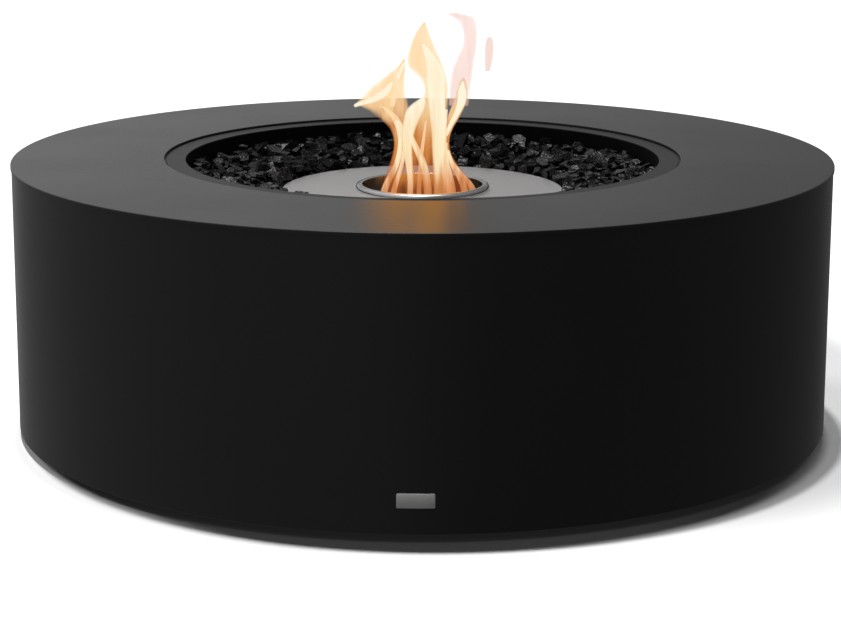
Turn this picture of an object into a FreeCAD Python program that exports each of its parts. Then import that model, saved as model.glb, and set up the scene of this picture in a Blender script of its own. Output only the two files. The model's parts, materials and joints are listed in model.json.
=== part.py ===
import FreeCAD, Part
import math
import os
import random

from FreeCAD import Vector

# Round steel fire pit table. A low steel drum stands on four levelling feet, and its ring
# shaped top carries a lift-out tray of fire glass. A stainless burner hangs in the tray.
# Millimetres. The origin is on the floor under the centre, +Z is up and -Y is the front.

# Top plate
TABLE_D = 1000.0
TABLE_H = 332.0
TOP_T = 4.0
OPENING_D = 632.0
TOP_EASE = 1.0

# Drum
TOP_LIP = 1.2
DRUM_T = 2.0
DRUM_FLOOR_GAP = 9.0

# Ledge ring that is welded under the opening and carries the tray, and the hoop under it
LEDGE_T = 3.0
LEDGE_SEAT_W = 14.0
LEDGE_LAP_W = 14.0
HOOP_T = 3.0
HOOP_H = 25.0

# Base ring, posts and ribs inside the drum
BASE_T = 4.0
BASE_W = 60.0
POST_COUNT = 4
POST_W = 30.0
POST_T = 2.0
POST_CORNER_R = 3.0
RIB_COUNT = 8
RIB_T = 4.0
RIB_INNER_H = 26.0
RIB_OUTER_H = 18.0
RIB_HOLE_D = 12.0
RIB_HOLE_PLACES = [0.25, 0.5, 0.75]
WELD_GAP = 0.3

# Levelling feet
FOOT_NAMES = ["front_left", "front_right", "rear_right", "rear_left"]
FOOT_FIRST_ANGLE = 225.0
FOOT_INSET = 32.0
FOOT_PAD_D = 30.0
FOOT_PAD_T = 5.5
FOOT_PAD_BEVEL = 1.0
FOOT_SOCKET_DEEP = 2.0
STUD_D = 10.0
STUD_L = 46.0
STUD_HEX_W = 15.0
STUD_HEX_T = 3.0
STUD_SLOT_W = 1.6
STUD_SLOT_DEEP = 2.0
STUD_TIP_BEVEL = 1.0
NUT_HEX_W = 17.0
NUT_T = 8.0
HEX_FACE_SHARE = 0.95
HEX_CHAMFER_ANGLE = 30.0
RUN_GAP = 0.08
STUD_HOLE_GAP = 1.0

# Bare badge plate on the drum
BADGE_W = 41.0
BADGE_H = 16.0
BADGE_T = 0.8
BADGE_R = 1.5
BADGE_ABOVE_FOOT = 29.2
BADGE_TURN = -0.7
BADGE_PAD_T = 0.3
BADGE_PAD_EDGE = 1.5

# Fire glass tray
TRAY_T = 1.5
TRAY_RIM_GAP = 2.5
TRAY_FLANGE_W = 23.5
TRAY_DEPTH = 72.0
TRAY_BEND = 2.5

# Burner
PLATE_D = 348.0
PLATE_BELOW_TOP = 43.0
PLATE_T = 1.5
PLATE_RIM_H = 6.0
PLATE_BEND = 1.0
COLLAR_D = 166.0
COLLAR_H = 6.5
COLLAR_LIP_W = 9.0
COLLAR_T = 1.5
COLLAR_BEND = 1.0
COLLAR_GROOVE_W = 1.4
COLLAR_GROOVE_DEEP = 0.7
COLLAR_GROOVE_IN = 3.6
JACKET_D = 310.0
JACKET_DEEP = 126.0
JACKET_T = 1.5
JACKET_BEND = 4.0
NECK_DEEP = 20.0
RESERVOIR_D = 260.0
RESERVOIR_DEEP = 84.0
RESERVOIR_T = 1.2
RESERVOIR_BEND = 6.0
RESERVOIR_HEM_W = 7.0
NECK_TO_LID = 4.0
UPSTAND_GAP = 6.0
SLEEVE_GAP = 1.0
BASE_PAD_D = 230.0

# Fire glass
GLASS_GAP = 0.3
GLASS_BELOW_PLATE = 9.0
GLASS_BELOW_RIM = 34.0
CHIP_ACROSS = [32.0, 27.0, 23.0, 19.0, 16.0, 13.0]
CHIP_TRIES = 900
CHIP_SIDES = 5
CHIP_CORNER_SHIFT = 0.2
CHIP_WAIST = (0.85, 1.0)
CHIP_TOP = (0.35, 0.7)
CHIP_RISE = (0.35, 0.6)
CHIP_ROOT = (-0.7, -0.4)
CHIP_LEAN = 0.25
CHIP_TILT = 25.0
CHIP_SEED = 7

# Radii and heights that follow from the sizes above
TOP_UNDER = TABLE_H - TOP_T
OPENING_R = OPENING_D / 2
DRUM_R = TABLE_D / 2 - TOP_LIP
DRUM_INNER_R = DRUM_R - DRUM_T
BASE_TOP = DRUM_FLOOR_GAP + BASE_T
BASE_OUTER_R = DRUM_INNER_R - WELD_GAP
LEDGE_INNER_R = OPENING_R - LEDGE_SEAT_W
LEDGE_OUTER_R = OPENING_R + LEDGE_LAP_W
LEDGE_UNDER = TOP_UNDER - LEDGE_T
POST_OUTER_R = math.sqrt((DRUM_INNER_R - WELD_GAP) ** 2 - (POST_W / 2) ** 2)
FOOT_R = TABLE_D / 2 - FOOT_INSET
STUD_R = STUD_D / 2
STUD_FOOT_Z = FOOT_PAD_T - FOOT_SOCKET_DEEP
FLANGE_R = OPENING_R - TRAY_RIM_GAP
TRAY_INNER_R = FLANGE_R - TRAY_FLANGE_W
TRAY_OUTER_R = TRAY_INNER_R + TRAY_T
TRAY_UNDER = TOP_UNDER - TRAY_DEPTH
TRAY_FLOOR = TRAY_UNDER + TRAY_T
PLATE_TOP = TABLE_H - PLATE_BELOW_TOP
PLATE_UNDER = PLATE_TOP - PLATE_T
PLATE_R = PLATE_D / 2
COLLAR_R = COLLAR_D / 2
COLLAR_TOP = PLATE_TOP + COLLAR_H
MOUTH_R = COLLAR_R - COLLAR_LIP_W
NECK_R = MOUTH_R + COLLAR_T
NECK_END = PLATE_UNDER - NECK_DEEP
JACKET_R = JACKET_D / 2
JACKET_UNDER = PLATE_UNDER - JACKET_DEEP
JACKET_FLOOR = JACKET_UNDER + JACKET_T
LID_TOP = NECK_END + NECK_TO_LID
LID_UNDER = LID_TOP - RESERVOIR_T
RESERVOIR_R = RESERVOIR_D / 2
RESERVOIR_UNDER = LID_UNDER - RESERVOIR_DEEP
UPSTAND_R = JACKET_R + UPSTAND_GAP
GLASS_EDGE_R = PLATE_R + GLASS_GAP


def spot(radius, angle, height=0.0):
    """Point at a radius and an angle round the table's axis."""
    turn = math.radians(angle)
    return Vector(radius * math.cos(turn), radius * math.sin(turn), height)


def turned(shape, angle):
    """Copy of a shape, turned round the table's axis."""
    return shape.rotated(Vector(0, 0, 0), Vector(0, 0, 1), angle)


def outline(corners):
    """Closed wire through corners (r, z) or (r, z, rounding), in the XZ plane."""
    points = [Vector(corner[0], 0, corner[1]) for corner in corners]
    edges = []
    ends = []
    for i, corner in enumerate(corners):
        here = points[i]
        if len(corner) < 3 or corner[2] <= 0:
            ends.append((here, here))
            continue
        to_last = (points[i - 1] - here).normalize()
        to_next = (points[(i + 1) % len(points)] - here).normalize()
        half = to_last.getAngle(to_next) / 2
        reach = corner[2] / math.tan(half)
        middle = (to_last + to_next).normalize() * (corner[2] / math.sin(half) - corner[2])
        start = here + to_last * reach
        stop = here + to_next * reach
        edges.append(Part.Arc(start, here + middle, stop).toShape())
        ends.append((start, stop))
    for i, (_, stop) in enumerate(ends):
        start = ends[(i + 1) % len(ends)][0]
        if stop.distanceToPoint(start) > 1e-6:
            edges.append(Part.LineSegment(stop, start).toShape())
    return Part.Wire(Part.__sortEdges__(edges))


def lathe(corners):
    """Solid of revolution of an outline round the table's axis."""
    return Part.Face(outline(corners)).revolve(Vector(0, 0, 0), Vector(0, 0, 1), 360)


def folded(path, wall, bend):
    """Corners of a bent sheet. The path is one skin and the wall lies to its left."""
    ways = []
    for (r0, z0), (r1, z1) in zip(path, path[1:]):
        length = math.hypot(r1 - r0, z1 - z0)
        ways.append(((r1 - r0) / length, (z1 - z0) / length))
    near = []
    far = []
    for i, (r, z) in enumerate(path):
        before = ways[max(i - 1, 0)]
        after = ways[min(i, len(ways) - 1)]
        share = wall / (1 + before[0] * after[0] + before[1] * after[1])
        side = (-before[1] - after[1], before[0] + after[0])
        left_turn = before[0] * after[1] - before[1] * after[0]
        near_round = far_round = 0.0
        if left_turn > 1e-6:
            near_round, far_round = bend + wall, bend
        elif left_turn < -1e-6:
            near_round, far_round = bend, bend + wall
        near.append((r, z, near_round))
        far.append((r + side[0] * share, z + side[1] * share, far_round))
    return near + far[::-1]


def band(inner, outer, low, high):
    """Corners of a plain ring with a rectangular section."""
    return [(inner, low), (outer, low), (outer, high), (inner, high)]


def hexagon(across, low, height):
    """Hexagon head on the table's axis, its size across the flats, chamfered on top."""
    radius = across / math.sqrt(3)
    corners = [spot(radius, 60 * k, low) for k in range(7)]
    prism = Part.Face(Part.makePolygon(corners)).extrude(Vector(0, 0, height))
    face_r = across / 2 * HEX_FACE_SHARE
    slope = math.tan(math.radians(HEX_CHAMFER_ANGLE))
    cone = lathe([
        (0, low),
        (across, low),
        (across, low + height - (across - face_r) * slope),
        (face_r, low + height),
        (0, low + height),
    ])
    return prism.common(cone)


def save(name, shape):
    """Write one sub-part to its own file and print what it holds."""
    for solid in shape.Solids:
        if not solid.isValid() or solid.Volume <= 0:
            raise ValueError(name + " has a solid that is not sound")
    shape.exportStep("parts/" + name + ".step")
    print(name, len(shape.Solids), "solids", round(shape.Volume), "mm3")


def top_plate():
    """Ring shaped top with eased edges."""
    return lathe([
        (OPENING_R, TOP_UNDER),
        (TABLE_D / 2, TOP_UNDER),
        (TABLE_D / 2, TABLE_H, TOP_EASE),
        (OPENING_R, TABLE_H, TOP_EASE / 2),
    ])


def drum_shell():
    """Drum wall, rolled from sheet."""
    return lathe(band(DRUM_INNER_R, DRUM_R, DRUM_FLOOR_GAP, TOP_UNDER))


def opening_ledge():
    """Flat ring under the opening's edge, on which the tray's flange rests."""
    return lathe(band(LEDGE_INNER_R, LEDGE_OUTER_R, LEDGE_UNDER, TOP_UNDER))


def ledge_hoop():
    """Upright hoop that stiffens the ledge ring from below."""
    return lathe(band(LEDGE_OUTER_R - HOOP_T, LEDGE_OUTER_R, LEDGE_UNDER - HOOP_H, LEDGE_UNDER))


def foot_angle(index):
    return FOOT_FIRST_ANGLE + 90.0 * index


def base_ring():
    """Flat ring in the drum's foot, drilled for the four levelling studs."""
    ring = lathe(band(BASE_OUTER_R - BASE_W, BASE_OUTER_R, DRUM_FLOOR_GAP, BASE_TOP))
    for index in range(len(FOOT_NAMES)):
        centre = spot(FOOT_R, foot_angle(index), DRUM_FLOOR_GAP)
        ring = ring.cut(Part.makeCylinder(STUD_R + STUD_HOLE_GAP, BASE_T, centre))
    return ring


def support_post(index):
    """Square tube from the base ring to the top plate, close to the drum wall."""
    outer = Part.makeBox(
        POST_W, POST_W, TOP_UNDER - BASE_TOP, Vector(POST_OUTER_R - POST_W, -POST_W / 2, BASE_TOP))
    long_edges = [edge for edge in outer.Edges if edge.Length > POST_W + 1]
    outer = outer.makeFillet(POST_CORNER_R, long_edges)
    hollow_w = POST_W - 2 * POST_T
    hollow = Part.makeBox(
        hollow_w, hollow_w, TOP_UNDER - BASE_TOP,
        Vector(POST_OUTER_R - POST_W + POST_T, -hollow_w / 2, BASE_TOP))
    return turned(outer.cut(hollow), 360.0 / POST_COUNT * index)


def radial_rib(index):
    """Tapered flat bar under the top, from the ledge ring out to a post or the drum."""
    angle = 360.0 / RIB_COUNT * index
    inner = LEDGE_OUTER_R + WELD_GAP
    meets_post = abs(angle / (360.0 / POST_COUNT) % 1.0) < 1e-6
    outer = POST_OUTER_R - POST_W if meets_post else DRUM_INNER_R - WELD_GAP
    bar = Part.Face(outline([
        (inner, TOP_UNDER),
        (outer, TOP_UNDER),
        (outer, TOP_UNDER - RIB_OUTER_H),
        (inner, TOP_UNDER - RIB_INNER_H),
    ])).extrude(Vector(0, RIB_T, 0))
    bar.translate(Vector(0, -RIB_T / 2, 0))
    deep = (RIB_INNER_H + RIB_OUTER_H) / 4
    for share in RIB_HOLE_PLACES:
        centre = Vector(inner + (outer - inner) * share, -RIB_T, TOP_UNDER - deep)
        bar = bar.cut(Part.makeCylinder(RIB_HOLE_D / 2, 2 * RIB_T, centre, Vector(0, 1, 0)))
    return turned(bar, angle)


def foot_weld_nuts():
    """Four hexagon nuts welded on the base ring over the stud holes."""
    nuts = []
    for index in range(len(FOOT_NAMES)):
        nut = hexagon(NUT_HEX_W, BASE_TOP, NUT_T)
        nut = nut.cut(Part.makeCylinder(STUD_R + RUN_GAP, NUT_T, Vector(0, 0, BASE_TOP)))
        nut.translate(spot(FOOT_R, foot_angle(index)))
        nuts.append(nut)
    return Part.makeCompound(nuts)


def foot_pad(index):
    """Round pad with a socket for the stud's end."""
    pad = lathe([
        (0, 0),
        (FOOT_PAD_D / 2 - FOOT_PAD_BEVEL, 0),
        (FOOT_PAD_D / 2, FOOT_PAD_BEVEL),
        (FOOT_PAD_D / 2, FOOT_PAD_T, FOOT_PAD_BEVEL),
        (STUD_R + RUN_GAP, FOOT_PAD_T),
        (STUD_R + RUN_GAP, STUD_FOOT_Z),
        (0, STUD_FOOT_Z),
    ])
    pad.translate(spot(FOOT_R, foot_angle(index)))
    return pad


def foot_stud(index):
    """Stud with a hexagon collar on the pad and a screwdriver slot in its top."""
    tip = STUD_FOOT_Z + STUD_L
    stud = lathe([
        (0, STUD_FOOT_Z),
        (STUD_R, STUD_FOOT_Z),
        (STUD_R, tip - STUD_TIP_BEVEL),
        (STUD_R - STUD_TIP_BEVEL, tip),
        (0, tip),
    ])
    stud = stud.fuse(hexagon(STUD_HEX_W, FOOT_PAD_T, STUD_HEX_T)).removeSplitter()
    slot = Part.makeBox(
        STUD_SLOT_W, 2 * STUD_D, STUD_SLOT_DEEP,
        Vector(-STUD_SLOT_W / 2, -STUD_D, tip - STUD_SLOT_DEEP))
    stud = stud.cut(slot)
    stud.translate(spot(FOOT_R, foot_angle(index)))
    return stud


def badge_sheet(inner_r, thick, edge):
    """Curved sheet against the drum at the front, smaller than the badge by its edge."""
    low = DRUM_FLOOR_GAP + BADGE_ABOVE_FOOT + edge
    high = low + BADGE_H - 2 * edge
    half = BADGE_W / 2 - edge
    ring = lathe(band(inner_r, inner_r + thick, low, high))
    corners = [(-half, low), (half, low), (half, high), (-half, high)]
    window = Part.Face(outline([(x, z, BADGE_R) for x, z in corners]))
    block = window.extrude(Vector(0, -TABLE_D, 0))
    return turned(ring.common(block), BADGE_TURN)


def tray_flange():
    """Level ring round the tray's mouth, which rests on the ledge."""
    return lathe(band(TRAY_INNER_R, FLANGE_R, TOP_UNDER, TOP_UNDER + TRAY_T))


def tray_wall():
    """Deep rolled wall of the tray, between its flange and its floor."""
    return lathe(band(TRAY_INNER_R, TRAY_OUTER_R, TRAY_FLOOR, TOP_UNDER))


def tray_floor():
    """Floor of the tray, folded up round the burner into an upstand."""
    path = [
        (UPSTAND_R, PLATE_UNDER),
        (UPSTAND_R, TRAY_UNDER),
        (TRAY_OUTER_R, TRAY_UNDER),
    ]
    return lathe(folded(path, TRAY_T, TRAY_BEND))


def glass_height(radius):
    """Height of the bed's surface, which falls from the tray wall to the burner plate."""
    low = PLATE_TOP - GLASS_BELOW_PLATE
    high = TABLE_H - GLASS_BELOW_RIM
    share = (radius - GLASS_EDGE_R) / (TRAY_INNER_R - GLASS_GAP - GLASS_EDGE_R)
    return low + (high - low) * share


def fire_glass_bed():
    """Lower layers of the loose glass, as one ring shaped body."""
    inner = UPSTAND_R + TRAY_T + GLASS_GAP
    outer = TRAY_INNER_R - GLASS_GAP
    return lathe([
        (inner, TRAY_FLOOR, TRAY_BEND + GLASS_GAP),
        (outer, TRAY_FLOOR),
        (outer, glass_height(outer)),
        (GLASS_EDGE_R, glass_height(GLASS_EDGE_R)),
        (inner, glass_height(GLASS_EDGE_R)),
    ])


def glass_chip(draw, reach, radius, angle):
    """One cut shard, inside its own reach: a waist, a flat top and a pointed root."""
    def leaning(rise):
        """Shift off the shard's middle and up or down by a share of its reach."""
        across, along = draw.uniform(-CHIP_LEAN, CHIP_LEAN), draw.uniform(-CHIP_LEAN, CHIP_LEAN)
        return Vector(across, along, draw.uniform(*rise)) * reach

    waist = []
    for side in range(CHIP_SIDES):
        corner = side + draw.uniform(-CHIP_CORNER_SHIFT, CHIP_CORNER_SHIFT)
        waist.append(spot(reach * draw.uniform(*CHIP_WAIST), corner * 360 / CHIP_SIDES))
    share = draw.uniform(*CHIP_TOP)
    raised = leaning(CHIP_RISE)
    top = [point * share + raised for point in waist]
    root = leaning(CHIP_ROOT)
    faces = [Part.Face(Part.makePolygon(top + top[:1]))]
    for side in range(CHIP_SIDES):
        after = (side + 1) % CHIP_SIDES
        faces.append(Part.Face(Part.makePolygon(
            [waist[side], waist[after], top[after], top[side], waist[side]])))
        faces.append(Part.Face(Part.makePolygon([waist[after], waist[side], root, waist[after]])))
    shard = Part.Solid(Part.Shell(faces))
    tilt_way = spot(1.0, draw.uniform(0, 360))
    shard = shard.rotated(Vector(0, 0, 0), tilt_way, draw.uniform(-CHIP_TILT, CHIP_TILT))
    shard.translate(spot(radius, angle))
    lift = max(glass_height(math.hypot(v.X, v.Y)) - v.Z for v in shard.Vertexes)
    shard.translate(Vector(0, 0, lift + GLASS_GAP))
    return shard


def chip_places(draw):
    """Clear round spaces for the shards, the largest first and smaller ones between them."""
    inner = PLATE_R + GLASS_GAP
    outer = TRAY_INNER_R - GLASS_GAP
    places = []
    for across in CHIP_ACROSS:
        reach = across / 2
        for _ in range(CHIP_TRIES):
            radius = draw.uniform(inner + reach, outer - reach)
            angle = draw.uniform(0, 360)
            here = spot(radius, angle)
            if all(here.distanceToPoint(spot(*place[1:])) > reach + place[0] + GLASS_GAP
                   for place in places):
                places.append((reach, radius, angle))
    return places


def fire_glass_chips():
    """Top layer of loose shards, each in its own clear space."""
    draw = random.Random(CHIP_SEED)
    return Part.makeCompound([glass_chip(draw, *place) for place in chip_places(draw)])


def burner_plate():
    """Round plate with a rim turned down, and the hole that the collar stands round."""
    path = [
        (PLATE_R, PLATE_TOP - PLATE_RIM_H),
        (PLATE_R, PLATE_TOP),
        (NECK_R, PLATE_TOP),
    ]
    return lathe(folded(path, PLATE_T, PLATE_BEND))


def mouth_collar():
    """Raised ring round the burner's mouth, grooved on top and folded down into a neck."""
    path = [
        (COLLAR_R, PLATE_TOP),
        (COLLAR_R, COLLAR_TOP),
        (MOUTH_R, COLLAR_TOP),
        (MOUTH_R, NECK_END),
    ]
    inner = MOUTH_R + COLLAR_GROOVE_IN
    groove = lathe(band(inner, inner + COLLAR_GROOVE_W, COLLAR_TOP - COLLAR_GROOVE_DEEP, COLLAR_TOP))
    return lathe(folded(path, COLLAR_T, COLLAR_BEND)).cut(groove)


def burner_jacket():
    """Outer can of the burner, open at its top under the plate."""
    return lathe([
        (0, JACKET_UNDER),
        (JACKET_R, JACKET_UNDER, JACKET_BEND + JACKET_T),
        (JACKET_R, PLATE_UNDER),
        (JACKET_R - JACKET_T, PLATE_UNDER),
        (JACKET_R - JACKET_T, JACKET_FLOOR, JACKET_BEND),
        (0, JACKET_FLOOR),
    ])


def fuel_reservoir():
    """Fuel pan with a flange turned out at its top."""
    floor = RESERVOIR_UNDER + RESERVOIR_T
    inner = RESERVOIR_R - RESERVOIR_T
    return lathe([
        (0, RESERVOIR_UNDER),
        (RESERVOIR_R, RESERVOIR_UNDER, RESERVOIR_BEND + RESERVOIR_T),
        (RESERVOIR_R, LID_UNDER - RESERVOIR_T),
        (RESERVOIR_R + RESERVOIR_HEM_W, LID_UNDER - RESERVOIR_T),
        (RESERVOIR_R + RESERVOIR_HEM_W, LID_UNDER),
        (inner, LID_UNDER),
        (inner, floor, RESERVOIR_BEND),
        (0, floor),
    ])


def reservoir_lid():
    """Flat lid on the fuel pan, with a hole for the neck."""
    return lathe(band(NECK_R + WELD_GAP, RESERVOIR_R + RESERVOIR_HEM_W, LID_UNDER, LID_TOP))


def insulation_sleeve():
    """Fibre sleeve between the fuel pan and the can."""
    inner = RESERVOIR_R + SLEEVE_GAP
    outer = JACKET_R - JACKET_T - SLEEVE_GAP
    return lathe([
        (inner, JACKET_FLOOR),
        (outer, JACKET_FLOOR, JACKET_BEND),
        (outer, LID_UNDER - RESERVOIR_T),
        (inner, LID_UNDER - RESERVOIR_T),
    ])


def insulation_base():
    """Fibre disc that carries the fuel pan on the can's floor."""
    return Part.makeCylinder(
        BASE_PAD_D / 2, RESERVOIR_UNDER - JACKET_FLOOR, Vector(0, 0, JACKET_FLOOR))


os.makedirs("parts", exist_ok=True)

save("top_plate", top_plate())
save("drum_shell", drum_shell())
save("opening_ledge", opening_ledge())
save("ledge_hoop", ledge_hoop())
save("base_ring", base_ring())
for number in range(POST_COUNT):
    save("support_post_" + str(number + 1), support_post(number))
for number in range(RIB_COUNT):
    save("radial_rib_" + str(number + 1), radial_rib(number))
save("foot_weld_nuts", foot_weld_nuts())
for number, name in enumerate(FOOT_NAMES):
    save("foot_pad_" + name, foot_pad(number))
    save("foot_stud_" + name, foot_stud(number))
save("badge_pad", badge_sheet(DRUM_R, BADGE_PAD_T, BADGE_PAD_EDGE))
save("badge_plate", badge_sheet(DRUM_R + BADGE_PAD_T, BADGE_T, 0.0))
save("tray_flange", tray_flange())
save("tray_wall", tray_wall())
save("tray_floor", tray_floor())
save("fire_glass_bed", fire_glass_bed())
save("fire_glass_chips", fire_glass_chips())
save("burner_plate", burner_plate())
save("mouth_collar", mouth_collar())
save("burner_jacket", burner_jacket())
save("fuel_reservoir", fuel_reservoir())
save("reservoir_lid", reservoir_lid())
save("insulation_sleeve", insulation_sleeve())
save("insulation_base", insulation_base())
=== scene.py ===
# %% [markdown]
# # A round steel fire pit table
# The table is a low steel drum with a ring shaped top. In its opening hangs a tray of black
# fire glass round a stainless burner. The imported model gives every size, and this lesson
# gives each piece the surface that the real one has. It could be made from one big lathe
# shape, but the real table is many folded sheets, so each sheet is a piece of its own.

# %% Load the frame and measure the model
import json
import math
import random

import bmesh
import bpy
from mathutils import Matrix, Vector


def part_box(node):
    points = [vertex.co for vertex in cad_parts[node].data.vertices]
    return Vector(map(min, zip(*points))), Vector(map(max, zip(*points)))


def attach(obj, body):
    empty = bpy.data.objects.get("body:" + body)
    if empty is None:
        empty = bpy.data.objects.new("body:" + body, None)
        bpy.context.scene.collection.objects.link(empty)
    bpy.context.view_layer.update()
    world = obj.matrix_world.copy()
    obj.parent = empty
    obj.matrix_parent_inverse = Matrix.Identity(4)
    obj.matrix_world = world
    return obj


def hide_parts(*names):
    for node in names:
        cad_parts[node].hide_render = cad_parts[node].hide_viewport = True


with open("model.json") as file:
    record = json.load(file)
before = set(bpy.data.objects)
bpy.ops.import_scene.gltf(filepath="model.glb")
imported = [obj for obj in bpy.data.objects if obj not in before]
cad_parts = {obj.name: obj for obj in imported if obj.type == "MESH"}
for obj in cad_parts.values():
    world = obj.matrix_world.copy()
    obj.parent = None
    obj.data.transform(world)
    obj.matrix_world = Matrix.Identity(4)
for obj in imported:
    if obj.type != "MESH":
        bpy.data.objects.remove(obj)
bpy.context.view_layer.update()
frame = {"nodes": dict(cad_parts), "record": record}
nodes = frame["nodes"]

# %% [markdown]
# ## Sizes read from the model
# A folded sheet has an outer radius, an inner radius and two heights. The outer ones are the
# node's box. The inner ones are read off its own corners, so nothing is typed in twice.


# %% Helpers that read a node's sizes
MM = 0.001
SMOOTH_ANGLE = math.radians(38)


def low(node):
    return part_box(node)[0].z


def high(node):
    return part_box(node)[1].z


def radii(node):
    """Smallest and largest radius of a node's corners."""
    every = [math.hypot(v.co.x, v.co.y) for v in nodes[node].data.vertices]
    return min(every), max(every)


table_top = high("top_plate")
opening_r, table_r = radii("top_plate")
plate_top = high("burner_plate")
print("top", round(table_top, 4), "opening", round(opening_r, 4), "table", round(table_r, 4))

# %% [markdown]
# ## The camera
# The photograph was taken with a long lens from a little above the top. The drum's sides
# lean in very little, as they do when a lens is shifted down and the camera is tilted less.
# The lens, its shift, the distance and the tilt were fitted to the rim, the sides and the
# foot of the drum.

# %% Camera
PHOTO_W = 841
PHOTO_H = 631
FOCAL_PX = 2323.1
LENS_AXIS_PX = (422.2, 265.0)
CAMERA_DISTANCE = 2.8245
CAMERA_ABOVE_TOP = 0.4618
CAMERA_TILT = math.radians(12.02)
CAMERA_ROLL = math.radians(0.15)
SENSOR_W = 36.0
FAR_CLIP = 200.0

camera_data = bpy.data.cameras.new("camera")
camera_data.sensor_width = SENSOR_W
camera_data.lens = FOCAL_PX * SENSOR_W / PHOTO_W
camera_data.clip_end = FAR_CLIP
camera_data.shift_x = (PHOTO_W / 2 - LENS_AXIS_PX[0]) / PHOTO_W
camera_data.shift_y = (LENS_AXIS_PX[1] - PHOTO_H / 2) / PHOTO_W
camera = bpy.data.objects.new("camera", camera_data)
bpy.context.scene.collection.objects.link(camera)
camera.location = (0, -CAMERA_DISTANCE, table_top + CAMERA_ABOVE_TOP)
tilt = Matrix.Rotation(math.pi / 2 - CAMERA_TILT, 3, "X")
roll = Matrix.Rotation(CAMERA_ROLL, 3, "Z")
camera.rotation_euler = (tilt @ roll).to_euler()
bpy.context.scene.camera = camera
bpy.context.scene.view_settings.view_transform = "Standard"
print("lens", round(camera_data.lens, 2), "mm")

# %% [markdown]
# ## Shader arithmetic
# A pattern is easiest to read as a sum or a product. A small class wraps a node's output,
# and each operator on it adds one Math node. Every other node comes from one method.


# %% The class behind the finishes
class Link:
    """One output of a node. Arithmetic on it adds Math nodes."""

    def __init__(self, look, socket):
        self.look = look
        self.socket = socket

    def maths(self, operation, *values):
        return self.look.node("ShaderNodeMath", {"operation": operation}, dict(enumerate(values)))

    def __add__(self, other):
        return self.maths("ADD", self, other)

    def __sub__(self, other):
        return self.maths("SUBTRACT", self, other)

    def __rsub__(self, other):
        return self.maths("SUBTRACT", other, self)

    def __mul__(self, other):
        return self.maths("MULTIPLY", self, other)

    def __pow__(self, other):
        return self.maths("POWER", self, other)

    __radd__ = __add__
    __rmul__ = __mul__


class Look:
    """A node tree and the one method that makes its nodes."""

    def __init__(self, owner):
        owner.use_nodes = True
        self.owner = owner
        self.tree = owner.node_tree
        self.tree.nodes.clear()

    def node(self, kind, settings=None, values=None, out=0):
        made = self.tree.nodes.new(kind)
        for name, value in (settings or {}).items():
            if name == "stops":
                for element, (place, colour) in zip(made.color_ramp.elements, value):
                    element.position = place
                    element.color = colour
            else:
                setattr(made, name, value)
        for name, value in (values or {}).items():
            if isinstance(value, Link):
                self.tree.links.new(value.socket, made.inputs[name])
            else:
                made.inputs[name].default_value = value
        return Link(self, made.outputs[out] if made.outputs else None)

    def place(self):
        """Object coordinates, which for every piece here are the table's own."""
        return self.node("ShaderNodeTexCoord", out="Object")

    def noise(self, place, scale, detail=2.0, roughness=0.5):
        values = {"Vector": place, "Scale": scale, "Detail": detail, "Roughness": roughness}
        return self.node("ShaderNodeTexNoise", None, values)

    def between(self, value, start, stop, low_value, high_value):
        """Smooth step of a value from one range to another."""
        return self.node(
            "ShaderNodeMapRange", {"interpolation_type": "SMOOTHSTEP"},
            {0: value, 1: start, 2: stop, 3: low_value, 4: high_value})

    def mixed(self, share, first, second):
        values = {0: share, 6: first, 7: second}
        return self.node("ShaderNodeMix", {"data_type": "RGBA"}, values, 2)

    def bump(self, height, distance, strength=1.0):
        values = {"Height": height, "Distance": distance, "Strength": strength}
        return self.node("ShaderNodeBump", None, values)

    def surface(self, values):
        """Principled surface straight to the output."""
        made = self.node("ShaderNodeBsdfPrincipled", None, values)
        self.node("ShaderNodeOutputMaterial", None, {"Surface": made})
        return self.owner


def new_look(name):
    return Look(bpy.data.materials.new(name))


print("helpers for finishes ready")


# %% [markdown]
# ## Satin powder coat
# The drum and the top wear one coat of satin black powder. Baked powder flows into a very
# fine ripple, so the finish is a dark colour, a medium roughness that wanders a little and
# a ripple about a millimetre across that is only a thousandth of a millimetre deep. One
# flat colour with one roughness is quicker, but it mirrors too cleanly for baked powder.


# %% Powder coats
RIPPLES_A_METRE = 750.0
RIPPLE_DEEP = 0.001 * MM
CLOUDS_A_METRE = 5.0
COAT_WANDER = 0.015


def powder_coat(name, shade, rough):
    look = new_look(name)
    place = look.place()
    cloud = look.noise(place, CLOUDS_A_METRE, 3.0)
    ripple = look.noise(place, RIPPLES_A_METRE, 1.0)
    darker = (shade * 0.85, shade * 0.85, shade * 0.9, 1)
    return look.surface({
        "Base Color": look.mixed(cloud, darker, (shade, shade, shade, 1)),
        "Roughness": look.between(cloud, 0.3, 0.7, rough - COAT_WANDER, rough + COAT_WANDER),
        "IOR": 1.5,
        "Normal": look.bump(ripple, RIPPLE_DEEP),
    })


coat = powder_coat("satin_powder_coat", shade=0.011, rough=0.27)
tray_coat = powder_coat("tray_powder_coat", shade=0.008, rough=0.42)
frame_coat = powder_coat("frame_powder_coat", shade=0.012, rough=0.45)
print("made", coat.name, tray_coat.name, frame_coat.name)

# %% [markdown]
# ## Brushed stainless steel
# The burner plate is brushed in rings, as a plate is when it turns under an abrasive pad.
# Anisotropy in the shader could stretch the highlights, but it draws no lines. Noise that
# is read along the radius, and hardly at all round the ring, does draw them. It moves the
# roughness and the surface by very little, because the lines are fine.


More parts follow.
